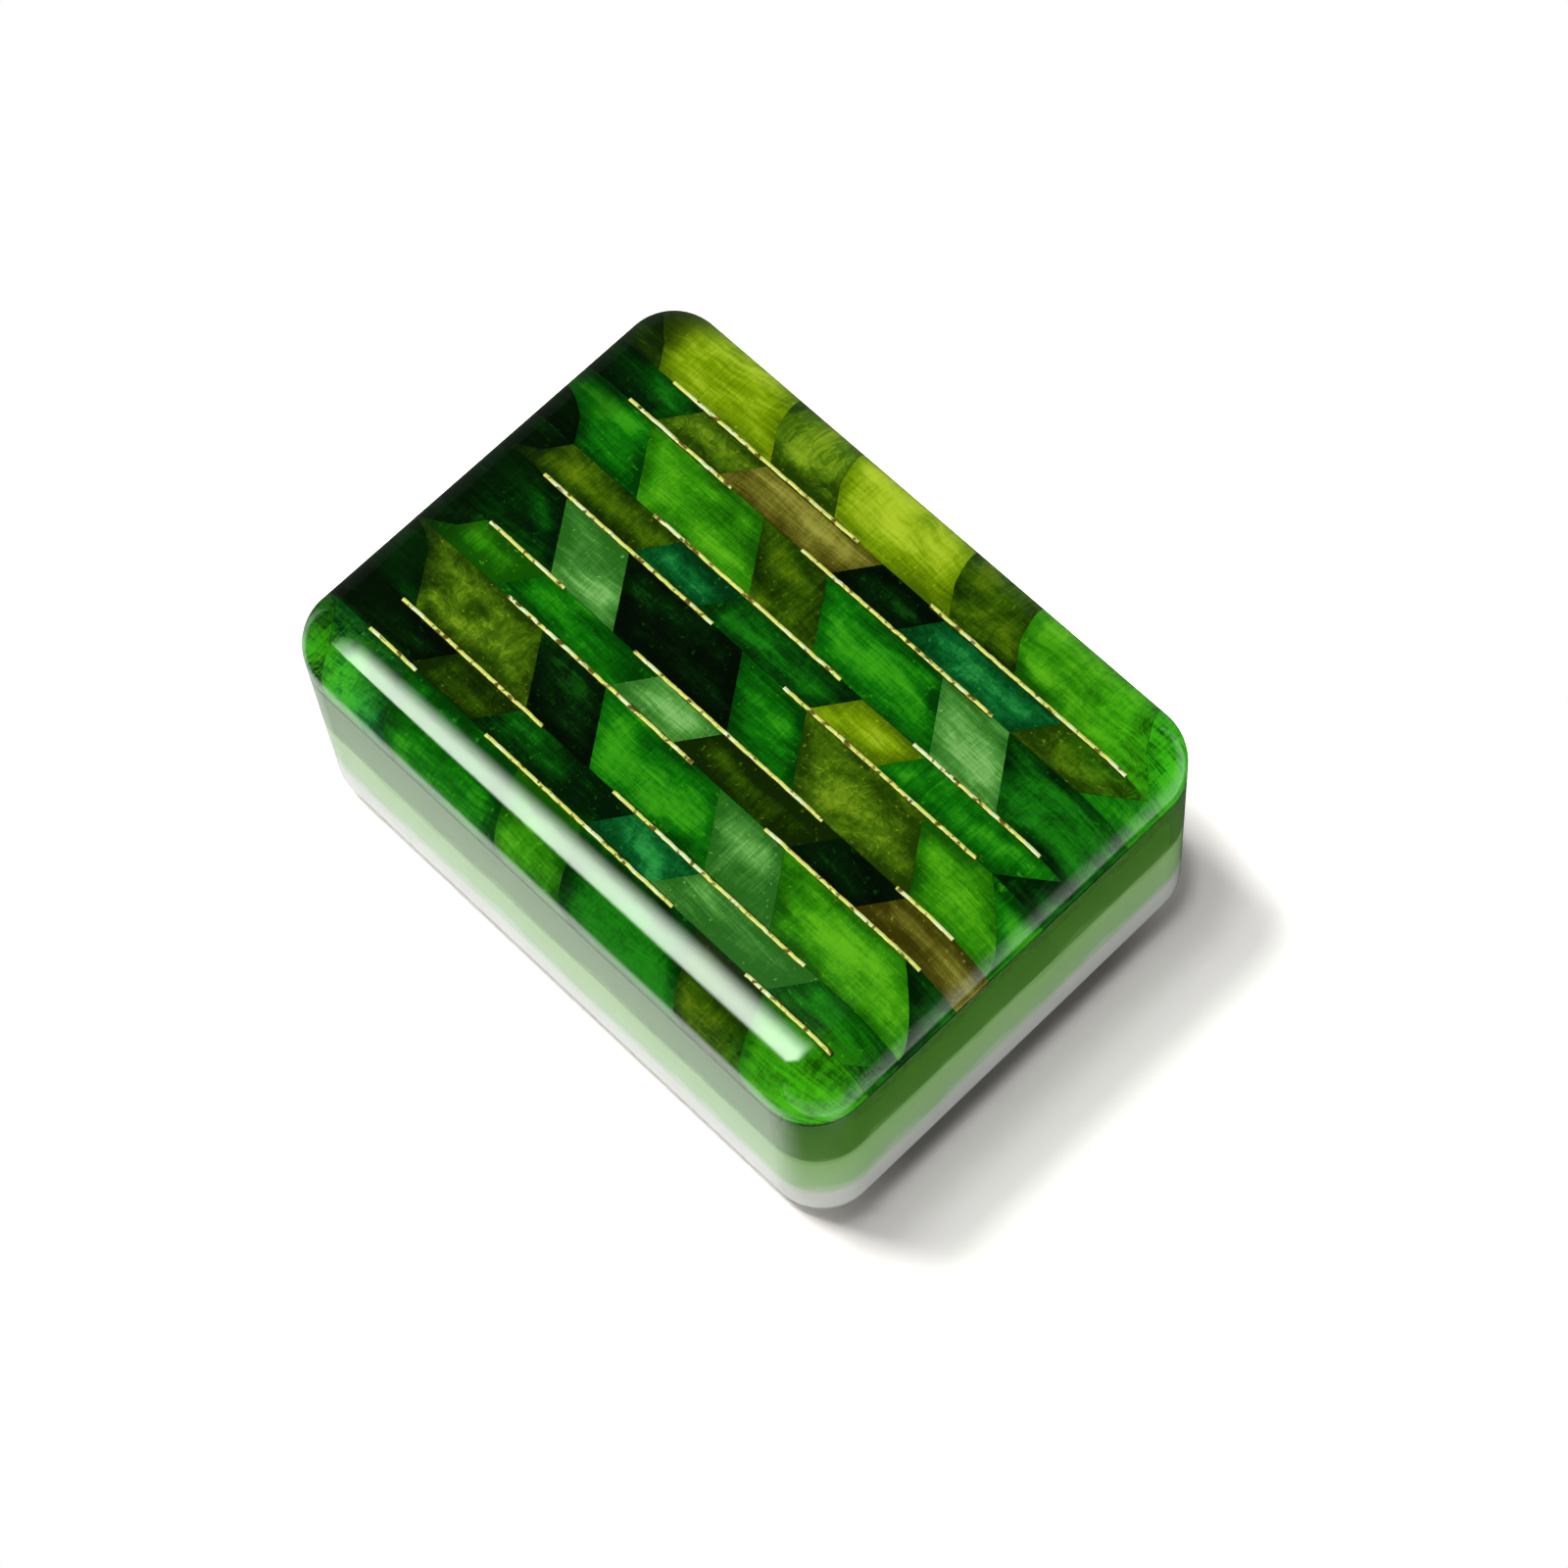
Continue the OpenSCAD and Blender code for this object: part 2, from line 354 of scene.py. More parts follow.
def own_cut(tree):
    """Object coordinates in millimetres, the same moved to a place of its own for each slip, and the slip's
    three draws."""
    place = add(tree, "ShaderNodeTexCoord", take="Object")
    draw = add(tree, "ShaderNodeAttribute", {"attribute_name": "cut"}, "Vector")
    in_mm, shift = [
        add(tree, "ShaderNodeVectorMath", {"operation": "SCALE", "Vector": vector, "Scale": scale}, "Vector")
        for vector, scale in ((place, 1 / MM), (draw, OWN_REACH))
    ]
    own = add(tree, "ShaderNodeVectorMath", {"Vector": in_mm, "Vector_001": shift}, "Vector")
    return in_mm, own, add(tree, "ShaderNodeSeparateXYZ", {"Vector": draw}).outputs


def slip_grain(tree, own, draws):
    """Streaks with finer hairs, along the slip or, on one slip in six, across it, and faint rays square to
    them, as in quarter-sawn veneer."""
    crosswise = add(tree, "ShaderNodeMath", {
        "operation": "GREATER_THAN", "Value": draws["X"], "Value_001": CROSSWISE,
    }, "Value")
    tilt = add(tree, "ShaderNodeMapRange", {
        "Value": draws["Y"], "To Min": -OFF_GRAIN, "To Max": OFF_GRAIN,
    }, "Result")
    angle = add(tree, "ShaderNodeMath", {
        "operation": "MULTIPLY_ADD", "Value": crosswise, "Value_001": math.radians(90), "Value_002": tilt,
    }, "Value")
    turned = add(tree, "ShaderNodeVectorRotate", {
        "rotation_type": "Z_AXIS", "Vector": own, "Angle": angle,
    }, "Vector")
    sway = add(tree, "ShaderNodeTexNoise", {"Vector": turned, "Scale": 0.6, "Detail": 1}, "Color")
    swayed = add(tree, "ShaderNodeVectorMath", {
        "operation": "MULTIPLY_ADD", "Vector": sway, "Vector_001": SWAY, "Vector_002": turned,
    }, "Vector")
    streaks, hairs, rays = [
        add(tree, "ShaderNodeTexNoise", {
            "Vector": add(tree, "ShaderNodeMapping", {"Vector": swayed, "Scale": cells}, "Vector"),
            "Scale": 1, "Detail": detail, "Roughness": roughness,
        }, "Fac")
        for cells, detail, roughness in ((STREAKS, 5, 0.6), (HAIRS, 3, 0.5), (RAYS, 3, 0.5))
    ]
    grain = add(tree, "ShaderNodeMix", {
        "data_type": "FLOAT", "Factor_Float": HAIR_SHARE, "A_Float": streaks, "B_Float": hairs,
    }, "Result_Float")
    return add(tree, "ShaderNodeMix", {
        "data_type": "FLOAT", "Factor_Float": RAY_SHARE, "A_Float": grain, "B_Float": rays,
    }, "Result_Float")


def slip_figure(tree, own):
    """Burr figure: clouds of dye 2 mm across, crossed by swirling veins."""
    clouds = add(tree, "ShaderNodeTexNoise", {
        "Vector": own, "Scale": 0.5, "Detail": 5, "Roughness": 0.62, "Distortion": 1.2,
    }, "Fac")
    swirls = add(tree, "ShaderNodeTexNoise", {
        "Vector": own, "Scale": 0.75, "Detail": 4, "Roughness": 0.55, "Distortion": 3,
    }, "Fac")
    off_vein = add(tree, "ShaderNodeMath", {
        "operation": "SUBTRACT", "Value": swirls, "Value_001": 0.5,
    }, "Value")
    off_vein = add(tree, "ShaderNodeMath", {"operation": "ABSOLUTE", "Value": off_vein}, "Value")
    vein = add(tree, "ShaderNodeMapRange", {
        "Value": off_vein, "From Min": 0.0, "From Max": 0.05, "To Min": 0.13, "To Max": 0.0,
    }, "Result")
    return add(tree, "ShaderNodeMath", {"operation": "ADD", "Value": clouds, "Value_001": vein}, "Value")


def slip_drift(tree, own):
    """Slow change of tone along a slip, about 5 mm long and 1.5 mm wide."""
    drawn = add(tree, "ShaderNodeMapping", {"Vector": own, "Scale": (0.2, 0.65, 1)}, "Vector")
    drift = add(tree, "ShaderNodeTexNoise", {
        "Vector": drawn, "Scale": 1, "Detail": 2, "Distortion": 0.4,
    }, "Fac")
    return add(tree, "ShaderNodeMapRange", {
        "Value": drift, "From Min": 0.3, "From Max": 0.7, "To Min": -0.4, "To Max": 0.4,
    }, "Result")


def slip_cracks(tree, own, strength):
    """Hair cracks in cells about 1 mm across."""
    wander = add(tree, "ShaderNodeTexNoise", {"Vector": own, "Scale": 1.3, "Detail": 3}, "Color")
    strayed = add(tree, "ShaderNodeVectorMath", {"Vector": own, "Vector_001": wander}, "Vector")
    cells = add(tree, "ShaderNodeTexVoronoi", {
        "feature": "DISTANCE_TO_EDGE", "Vector": strayed, "Scale": 0.9,
    }, "Distance")
    return add(tree, "ShaderNodeMapRange", {
        "Value": cells, "From Min": 0.0, "From Max": 0.05, "To Min": strength, "To Max": 0.0,
    }, "Result")


# The slips are painted with the light that the cap's rolled edge gathers at the head end and in the near
# corner of the foot end, and with painted shade on the rest of the foot end, which it keeps light off. Each
# pair says how far inside an edge of the tile, in millimetres, a share is 0, and how far inside it is full.
PAINTED_GLOW_COLOUR = "#52cc1a"
PAINTED_FOOT_SHADE = "#031204"
RIM, SHORE = (2.6, 0.0), (0.7, 0.0)
OFF_FOOT = (1.0, 5.0)
GLOW_AT_HEAD, GLOW_AT_SIDES = (6.0, 1.0), (5.0, 0.5)
GLOW_AT_FOOT, GLOW_AT_NEAR = (6.0, 2.5), (3.4, 1.0)
SHADE_AT_FOOT, OPEN_AT_NEAR = (6.0, 3.4), (4.2, 2.0)
# The inner edge of the painted foot shade strays by up to this much, with this many cells to a millimetre.
# Near the open corner the opening pushes it out.
STRAY, STRAY_CELLS = 5.0, 0.35
OPENING = 4.0
SHADE_SHARE = 0.88


def inside_edges(tree, in_mm):
    """How many millimetres a point is inside the foot end, the head end, the near long side, and whichever
    long side is nearer to it."""
    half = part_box("clear_cap")[1] / MM
    along, side, _ = add(tree, "ShaderNodeSeparateXYZ", {"Vector": in_mm}).outputs
    across = add(tree, "ShaderNodeMath", {"operation": "ABSOLUTE", "Value": side}, "Value")
    return [
        add(tree, "ShaderNodeMath", {"operation": operation, "Value": first, "Value_001": second}, "Value")
        for operation, first, second in (
            ("ADD", along, half.x), ("SUBTRACT", half.x, along),
            ("ADD", side, half.y), ("SUBTRACT", half.y, across),
        )
    ]


def rim_shares(tree, edges):
    """Two shares: the rim, where painted light lifts the dye, full at the outline and fading inwards, and
    the shore, its outermost part, where the painted seam shade is taken off. The foot end has neither."""
    foot, head, _, side = edges
    off_foot = eased(tree, foot, *OFF_FOOT)
    return [add(tree, "ShaderNodeMath", {
        "operation": "MAXIMUM", "Value": eased(tree, side, *reach, 0.0, off_foot),
        "Value_001": eased(tree, head, *reach),
    }, "Value") for reach in (RIM, SHORE)]


def painted_glow_share(tree, edges):
    """Where the painted glow lies: the two corners of the head end and the near corner of the foot end."""
    foot, head, near, side = edges
    at_head = eased(tree, side, *GLOW_AT_SIDES, 0.0, eased(tree, head, *GLOW_AT_HEAD))
    at_foot = eased(tree, near, *GLOW_AT_NEAR, 0.0, eased(tree, foot, *GLOW_AT_FOOT))
    return add(tree, "ShaderNodeMath", {
        "operation": "MAXIMUM", "Value": at_head, "Value_001": at_foot,
    }, "Value")


def painted_foot_shade_share(tree, in_mm, edges):
    """The painted shade of the foot end. Its inner edge wanders, and it leaves the near corner open."""
    foot, _, near, _ = edges
    patches = add(tree, "ShaderNodeTexNoise", {"Vector": in_mm, "Scale": STRAY_CELLS, "Detail": 2}, "Fac")
    strayed = add(tree, "ShaderNodeMath", {
        "operation": "MULTIPLY_ADD", "Value": patches, "Value_001": STRAY, "Value_002": foot,
    }, "Value")
    opened = add(tree, "ShaderNodeMath", {
        "operation": "ADD", "Value": strayed, "Value_001": eased(tree, near, *OPEN_AT_NEAR, 0.0, OPENING),
    }, "Value")
    return eased(tree, opened, *SHADE_AT_FOOT, 0.0, SHADE_SHARE)


# A dye goes from its deep to its bright shade over the tone range. Painted light makes it lighter at the
# rim, and painted shade makes it darker at a slip's seams.
TONE_RANGE = (-0.2, 1.22)
PAINTED_RIM_LIGHT = 0.3
PAINTED_SEAM_SHADE = 0.42
# One slip is lighter or darker than the next of its dye by up to this
SLIP_LIFT = 0.2
# The grain's share in the figure of a blotchy dye and how strong its cracks are, each with what a brushed
# dye adds or takes off
GRAIN_SHARE, BRUSHED_GRAIN = 0.3, 0.55
CRACKED, BRUSHED_CRACKED = 0.4, 0.35
GRAIN_DEPTH = 0.05 * MM
SPECKS = 4.5
# The painted glow fills the figure's light parts only, over this range and between these shares
GLOWING = (0.4, 0.58, 0.0, 0.85)


def slip_level(tree, figure, own, draws, shares):
    """How light a slip is, by the figure of its wood, its slow drift, its draw, painted light at the rim,
    and painted shade at its seams.
    """
    rim, shore = shares
    tone = add(tree, "ShaderNodeMapRange", {"Value": figure, "From Min": 0.34, "From Max": 0.7}, "Result")
    tone = add(tree, "ShaderNodeMath", {
        "operation": "ADD", "Value": tone, "Value_001": slip_drift(tree, own),
    }, "Value")
    lift = add(tree, "ShaderNodeMapRange", {
        "Value": draws["Z"], "To Min": -SLIP_LIFT, "To Max": SLIP_LIFT,
    }, "Result")
    lift = add(tree, "ShaderNodeMath", {
        "operation": "MULTIPLY_ADD", "Value": rim, "Value_001": PAINTED_RIM_LIGHT, "Value_002": lift,
    }, "Value")
    level = add(tree, "ShaderNodeMath", {"operation": "ADD", "Value": tone, "Value_001": lift}, "Value")
    # Painted shade darkens a slip towards its seams, but not on the shore
    inside = add(tree, "ShaderNodeAttribute", {"attribute_name": "inside"}, "Fac")
    inside = add(tree, "ShaderNodeMath", {
        "operation": "MAXIMUM", "Value": inside, "Value_001": shore,
    }, "Value")
    return add(tree, "ShaderNodeMath", {
        "operation": "ADD", "Value": level, "Value_001": eased(tree, inside, 0.0, 1.0, -PAINTED_SEAM_SHADE, 0.0),
    }, "Value")


def dyed_slip(dye, deep, shade, bright, brushed):
    """Thin dyed slip with a fine grain, like dyed wood under lacquer. brushed is 0 for a blotchy dye with
    burr figure, and 1 for a streaky one. Bright specks and deep cracks lie on the dye, then the painted
    glow, then the painted shade of the foot end."""
    material, tree = start_material("dyed slip, " + dye)
    in_mm, own, draws = own_cut(tree)
    figure = add(tree, "ShaderNodeMix", {
        "data_type": "FLOAT", "Factor_Float": GRAIN_SHARE + BRUSHED_GRAIN * brushed,
        "A_Float": slip_figure(tree, own), "B_Float": slip_grain(tree, own, draws),
    }, "Result_Float")
    edges = inside_edges(tree, in_mm)
    level = slip_level(tree, figure, own, draws, rim_shares(tree, edges))
    ramp = add(tree, "ShaderNodeValToRGB", {"Fac": eased(tree, level, *TONE_RANGE)})
    stops = ramp.color_ramp.elements
    stops.new(1.0)
    for stop, (position, stain) in zip(stops, ((0.0, deep), (0.5, shade), (1.0, bright))):
        stop.position = position
        stop.color = linear(stain)
    specks = add(tree, "ShaderNodeTexNoise", {"Vector": own, "Scale": SPECKS, "Detail": 2}, "Fac")
    specks = add(tree, "ShaderNodeMapRange", {
        "Value": specks, "From Min": 0.66, "From Max": 0.74, "To Max": 0.5,
    }, "Result")
    painted_glow = add(tree, "ShaderNodeMath", {
        "operation": "MULTIPLY", "Value": painted_glow_share(tree, edges),
        "Value_001": eased(tree, figure, *GLOWING),
    }, "Value")
    colour = ramp.outputs["Color"]
    # Specks and cracks belong to the dye; the glow is painted light and the foot's colour is painted shade
    for share, over in (
        (specks, bright), (slip_cracks(tree, own, CRACKED - BRUSHED_CRACKED * brushed), deep),
        (painted_glow, PAINTED_GLOW_COLOUR), (painted_foot_shade_share(tree, in_mm, edges), PAINTED_FOOT_SHADE),
    ):
        colour = add(tree, "ShaderNodeMix", {
            "data_type": "RGBA", "Factor_Float": share, "A_Color": colour, "B_Color": linear(over),
        }, "Result_Color")
    bump = add(tree, "ShaderNodeBump", {
        "Height": figure, "Strength": 0.3, "Distance": GRAIN_DEPTH,
    }, "Normal")
    shader = add(tree, "ShaderNodeBsdfPrincipled", {
        "Base Color": colour, "Roughness": 0.5, "IOR": 1.05, "Normal": bump,
    }, "BSDF")
    end_material(tree, shader)
    return material


# Cells to a millimetre: where the leaf is worn, where it takes a painted glint, and its dents
WEAR = 2.6 / MM
GLINT_SPOTS = 1.1 / MM
DENTS, DENT_DEPTH = 9 / MM, 0.03 * MM
GOLD, WORN_AND_SHADED_GOLD, PAINTED_GLINT_GOLD = "#fbf086", "#745c08", "#fffcd8"
# It is kept over this range of the wear and lit over this range of how far it faces up, with painted
# shade below, and takes a painted glint over this range of the glint spots
KEPT, CROWN, GLINT = (0.37, 0.48), (0.66, 0.95), (0.5, 0.62, 0.0, 0.9)


def gold_leaf():
    """Gold leaf rubbed into the joint: yellow along its crown, with a painted glint about every 1 mm, and
    brown where it is worn and, as painted shade, on its flanks. Dents 0.1 mm across make it glitter. It is
    part leaf and part size, so it scatters light as well."""
    material, tree = start_material("gold leaf")
    place = add(tree, "ShaderNodeTexCoord", take="Object")
    wear = add(tree, "ShaderNodeTexNoise", {"Vector": place, "Scale": WEAR, "Detail": 3}, "Fac")
    normal = add(tree, "ShaderNodeNewGeometry", take="Normal")
    upward = add(tree, "ShaderNodeSeparateXYZ", {"Vector": normal}, "Z")
    # Painted light and shade: the leaf is yellow where it faces up and brown on its flanks, and brown where
    # worn
    kept_and_lit = add(tree, "ShaderNodeMath", {
        "operation": "MULTIPLY", "Value": eased(tree, wear, *KEPT),
        "Value_001": eased(tree, upward, *CROWN),
    }, "Value")
    leaf = add(tree, "ShaderNodeMix", {
        "data_type": "RGBA", "Factor_Float": kept_and_lit, "A_Color": linear(WORN_AND_SHADED_GOLD), "B_Color": linear(GOLD),
    }, "Result_Color")
    # Painted glints: pale spots about every 1 mm on the kept, lit crown
    glint_spots = add(tree, "ShaderNodeTexNoise", {"Vector": place, "Scale": GLINT_SPOTS, "Detail": 1}, "Fac")
    glint = add(tree, "ShaderNodeMath", {
        "operation": "MULTIPLY", "Value": eased(tree, glint_spots, *GLINT), "Value_001": kept_and_lit,
    }, "Value")
    colour = add(tree, "ShaderNodeMix", {
        "data_type": "RGBA", "Factor_Float": glint, "A_Color": leaf, "B_Color": linear(PAINTED_GLINT_GOLD),
    }, "Result_Color")
    dents = add(tree, "ShaderNodeTexNoise", {"Vector": place, "Scale": DENTS, "Detail": 2}, "Fac")
    bump = add(tree, "ShaderNodeBump", {
        "Height": dents, "Strength": 0.6, "Distance": DENT_DEPTH,
    }, "Normal")
    shader = add(tree, "ShaderNodeBsdfPrincipled", {
        "Base Color": colour, "Metallic": 0.2, "Roughness": 0.3, "Normal": bump,
    }, "BSDF")
    end_material(tree, shader)
    return material


# The clear cap and its adhesive

def ring(half_l, half_w, radius, z):
    """Points and outward directions round a rectangle with rounded corners, seen from above and turning
    left."""
    points = []
    for quarter, (sx, sy) in enumerate(((1, 1), (-1, 1), (-1, -1), (1, -1))):
        for step in range(CORNER_STEPS + 1):
            angle = (quarter + step / CORNER_STEPS) * math.pi / 2
            out = Vector((math.cos(angle), math.sin(angle), 0))
            centre = Vector((sx * (half_l - radius), sy * (half_w - radius), z))
            points.append((centre + out * radius, out))
    return points


def block_mesh(name, half_l, half_w, radius, low_z, high_z, roll):
    """A closed block with rounded corners and, where roll isn't 0, a rolled upper edge. Its normals are
    exact."""
    levels = [(0.0, low_z, 0.0)]
    if roll:
        for step in range(ROLL_STEPS + 1):
            lean = step / ROLL_STEPS * math.pi / 2
            levels.append((roll * (1 - math.cos(lean)), high_z - roll * (1 - math.sin(lean)), lean))
    else:
        levels.append((0.0, high_z, 0.0))
    points, normals = [], []
    for inset, z, lean in levels:
        for point, out in ring(half_l - inset, half_w - inset, radius - inset, z):
            points.append(point)
            normals.append(out * math.cos(lean) + Vector((0, 0, math.sin(lean))))
    around = len(points) // len(levels)
    faces = []
    for start in range(0, len(points) - around, around):
        for i in range(around):
            after = (i + 1) % around
            faces.append((start + i, start + after, start + around + after, start + around + i))
    faces.append(tuple(reversed(range(around))))
    faces.append(tuple(range(len(points) - around, len(points))))
    mesh = bpy.data.meshes.new(name)
    mesh.from_pydata(points, [], faces)
    mesh.polygons.foreach_set("use_smooth", [True] * len(faces))
    down, up = Vector((0, 0, -1)), Vector((0, 0, 1))
    loops = [normals[i] for face in faces[:-2] for i in face] + [down] * around + [up] * around
    mesh.normals_split_custom_set(loops)
    return mesh


def make_cap():
    """The cap, from a little inside the dark film up to the tile's back, with its rolled edge."""
    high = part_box("clear_cap")[1]
    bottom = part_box("inlay_backing_film")[1].z - SINK
    cap = new_object("cap", block_mesh("cap", high.x, high.y, CORNER_R, bottom, high.z, ROLL_R))
    dress(cap, clear_acrylic())
    seat(cap, "clear_cap")


def make_cap_adhesive():
    """The adhesive on the inlay, drawn in from the cap's walls."""
    low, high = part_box("cap_bond_film")
    film = new_object("cap_adhesive", block_mesh(
        "cap_adhesive", high.x - INSET, high.y - INSET, CORNER_R - INSET, low.z + SINK, high.z, 0,
    ))
    dress(film, clear_adhesive())
    seat(film, "cap_bond_film")


# The inlay

# The slips swell by this much into their joints when they are glued, and their edges have this radius
SWELL = 0.018 * MM
SLIP_EASE = 0.01 * MM
# Cells of the grid on which a slip's distance from its edges is stored, how far in the painted seam shade
# reaches, and the turn at which an edge counts
GRID = 0.45 * MM
SEAM_WIDTH = 0.8 * MM
SHARP = math.radians(20)


def slip_tree():
    """Gives each slip its own draw of three numbers, by which its dye and grain differ from the others', and
    each point of it its distance from the slip's edges, 1 from the seam's width on, which places the painted
    seam shade."""
    tree, group = start_tree("slips", {
        "Seed": "NodeSocketInt", "Seam width": "NodeSocketFloat", "Material": "NodeSocketMaterial",
    })
    island = add(tree, "GeometryNodeInputMeshIsland", take="Island Index")
    draw = add(tree, "FunctionNodeRandomValue", {
        "data_type": "FLOAT_VECTOR", "ID": island, "Seed": group.outputs["Seed"],
    }, "Value")
    drawn = add(tree, "GeometryNodeStoreNamedAttribute", {
        "data_type": "FLOAT_VECTOR", "domain": "POINT",
        "Geometry": group.outputs["Geometry"], "Name": "cut", "Value": draw,
    }, "Geometry")
    turn = add(tree, "GeometryNodeInputMeshEdgeAngle", take="Unsigned Angle")
    sharp = add(tree, "FunctionNodeCompare", {"operation": "GREATER_THAN", "A": turn, "B": SHARP}, "Result")
    edges = add(tree, "GeometryNodeSeparateGeometry", {
        "domain": "EDGE", "Geometry": group.outputs["Geometry"], "Selection": sharp,
    }, "Selection")
    away = add(tree, "GeometryNodeProximity", {"target_element": "EDGES", "Target": edges}, "Distance")
    inside = add(tree, "ShaderNodeMapRange", {
        "Value": away, "From Min": 0.0, "From Max": group.outputs["Seam width"],
    }, "Result")
    stored = add(tree, "GeometryNodeStoreNamedAttribute", {
        "data_type": "FLOAT", "domain": "POINT", "Geometry": drawn, "Name": "inside", "Value": inside,
    }, "Geometry")
    end_tree(tree, stored, group.outputs["Material"])
    return tree


def swollen(mesh, by):
    """Moves each upright side of the slips in a mesh outwards."""
    shape = bmesh.new()
    shape.from_mesh(mesh)
    shape.normal_update()
    moves = {}
    for vert in shape.verts:
        sides = [face.normal for face in vert.link_faces if abs(face.normal.z) < 0.5]
        if len(sides) == 2:
            moves[vert] = (sides[0] + sides[1]) * by / (1 + sides[0].dot(sides[1]))
    for vert, move in moves.items():
        vert.co += move
    shape.to_mesh(mesh)
    shape.free()
    return mesh


def gridded(mesh, step):
    """Cuts a mesh along a square grid, so that what is stored on its points varies across its faces."""
    shape = bmesh.new()
    shape.from_mesh(mesh)
    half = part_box("clear_cap")[1]
    for normal, reach in ((Vector((1, 0, 0)), half.x), (Vector((0, 1, 0)), half.y)):
        for line in range(-int(reach / step), int(reach / step) + 1):
            everything = shape.verts[:] + shape.edges[:] + shape.faces[:]
            bmesh.ops.bisect_plane(shape, geom=everything, plane_co=normal * line * step, plane_no=normal)
    shape.to_mesh(mesh)
    shape.free()


def make_slips(stains):
    """The slips, drawn in from the cap's walls, with eased edges."""
    tree = slip_tree()
    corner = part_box("clear_cap")[1]
    inset = INSET + SWELL
    drawn_in = Matrix.Diagonal((1 - inset / corner.x, 1 - inset / corner.y, 1, 1))
    for seed, (dye, stain) in enumerate(stains.items()):
        node = "inlay_" + dye
        mesh = swollen(merged_copy(node), SWELL)
        mesh.transform(drawn_in)
        slips = new_object("slips_" + dye, mesh)
        ease = slips.modifiers.new("eased edges", "BEVEL")
        ease.width = SLIP_EASE
        ease.segments = 2
        ease.limit_method = "ANGLE"
        bake_modifiers(slips)
        gridded(slips.data, GRID)
        run_tree(slips, tree, {
            "Seed": seed, "Seam width": SEAM_WIDTH, "Material": dyed_slip(dye, *stain),
        })
        seat(slips, node)


GOLD_STEP = 0.05 * MM
GOLD_SIDES = 12
# How flat a strip of leaf is, and how far it strays across and down
GOLD_FLATNESS = 0.5
GOLD_STRAY = Vector((0, 0.06 * MM, 0.1 * MM))
# Cells to a millimetre of the leaf's width and of its straying
WIDTHS = 2.3 / MM
STRAYS = 2.6 / MM


def gold_tree():
    """Lays gold leaf along each line: a low round strip of uneven width that strays every 0.4 mm."""
    tree, group = start_tree("gold leaf", {
        "Step": "NodeSocketFloat", "Half width": "NodeSocketFloat", "Flatness": "NodeSocketFloat",
        "Material": "NodeSocketMaterial",
    })
    lines = add(tree, "GeometryNodeMeshToCurve", {"Mesh": group.outputs["Geometry"]}, "Curve")
    beads = add(tree, "GeometryNodeResampleCurve", {
        "mode": "LENGTH", "Curve": lines, "Length": group.outputs["Step"],
    }, "Curve")
    level = add(tree, "GeometryNodeSetCurveNormal", {"mode": "Z_UP", "Curve": beads}, "Curve")
    place = add(tree, "GeometryNodeInputPosition", take="Position")
    widths = add(tree, "ShaderNodeTexNoise", {"Vector": place, "Scale": WIDTHS, "Detail": 2}, "Fac")
    width = add(tree, "ShaderNodeMapRange", {
        "Value": widths, "From Min": 0.41, "From Max": 0.47, "To Min": 0.1, "To Max": 1.0,
    }, "Result")
    uneven = add(tree, "GeometryNodeSetCurveRadius", {"Curve": level, "Radius": width}, "Curve")
    strays = add(tree, "ShaderNodeTexNoise", {"Vector": place, "Scale": STRAYS, "Detail": 1}, "Color")
    drift = add(tree, "ShaderNodeVectorMath", {
        "operation": "MULTIPLY_ADD", "Vector": strays, "Vector_001": GOLD_STRAY,
        "Vector_002": -GOLD_STRAY / 2,
    }, "Vector")
    laid = add(tree, "GeometryNodeSetPosition", {"Geometry": uneven, "Offset": drift}, "Geometry")
    circle = add(tree, "GeometryNodeCurvePrimitiveCircle", {
        "Resolution": GOLD_SIDES, "Radius": group.outputs["Half width"],
    }, "Curve")
    flat = add(tree, "ShaderNodeCombineXYZ", {"X": 1.0, "Y": group.outputs["Flatness"], "Z": 1.0}, "Vector")
    section = add(tree, "GeometryNodeTransform", {"Geometry": circle, "Scale": flat}, "Geometry")
    leaf = add(tree, "GeometryNodeCurveToMesh", {
        "Curve": laid, "Profile Curve": section, "Fill Caps": True,
    }, "Mesh")
    smooth = add(tree, "GeometryNodeSetShadeSmooth", {"Geometry": leaf}, "Geometry")
    end_tree(tree, smooth, group.outputs["Material"])
    return tree


def gold_middles():
    """A mesh of one edge along the top of each gold line of the frame. Also gives the lines' width."""
    shape = bmesh.new()
    shape.from_mesh(merged_copy("gold_lines"))
    left = set(shape.verts)
    ends, width = [], 0.0
    while left:
        found = [left.pop()]
        for vert in found:
            near = {edge.other_vert(vert) for edge in vert.link_edges} & left
            found.extend(near)
            left -= near
        xs, ys, zs = zip(*[vert.co for vert in found])
        width = max(width, max(ys) - min(ys))
        y, z = (min(ys) + max(ys)) / 2, max(zs)
        ends.append(((min(xs), y, z), (max(xs), y, z)))
    shape.free()
    points = [point for pair in sorted(ends) for point in pair]
    mesh = bpy.data.meshes.new("gold_middles")
    mesh.from_pydata(points, [(i, i + 1) for i in range(0, len(points), 2)], [])
    return mesh, width


def make_gold():
    """The gold leaf, as wide as the lines of the frame."""
    mesh, width = gold_middles()
    gold = new_object("gold_leaf", mesh)
    run_tree(gold, gold_tree(), {
        "Step": GOLD_STEP, "Half width": width / 2, "Flatness": GOLD_FLATNESS,
        "Material": gold_leaf(),
    })
    seat(gold, "gold_lines")


# The stage and the light

STAGE_PROFILE_MM = ((330, 0), (400, 8), (450, 30), (480, 70), (490, 120))
STAGE_STEPS = 96
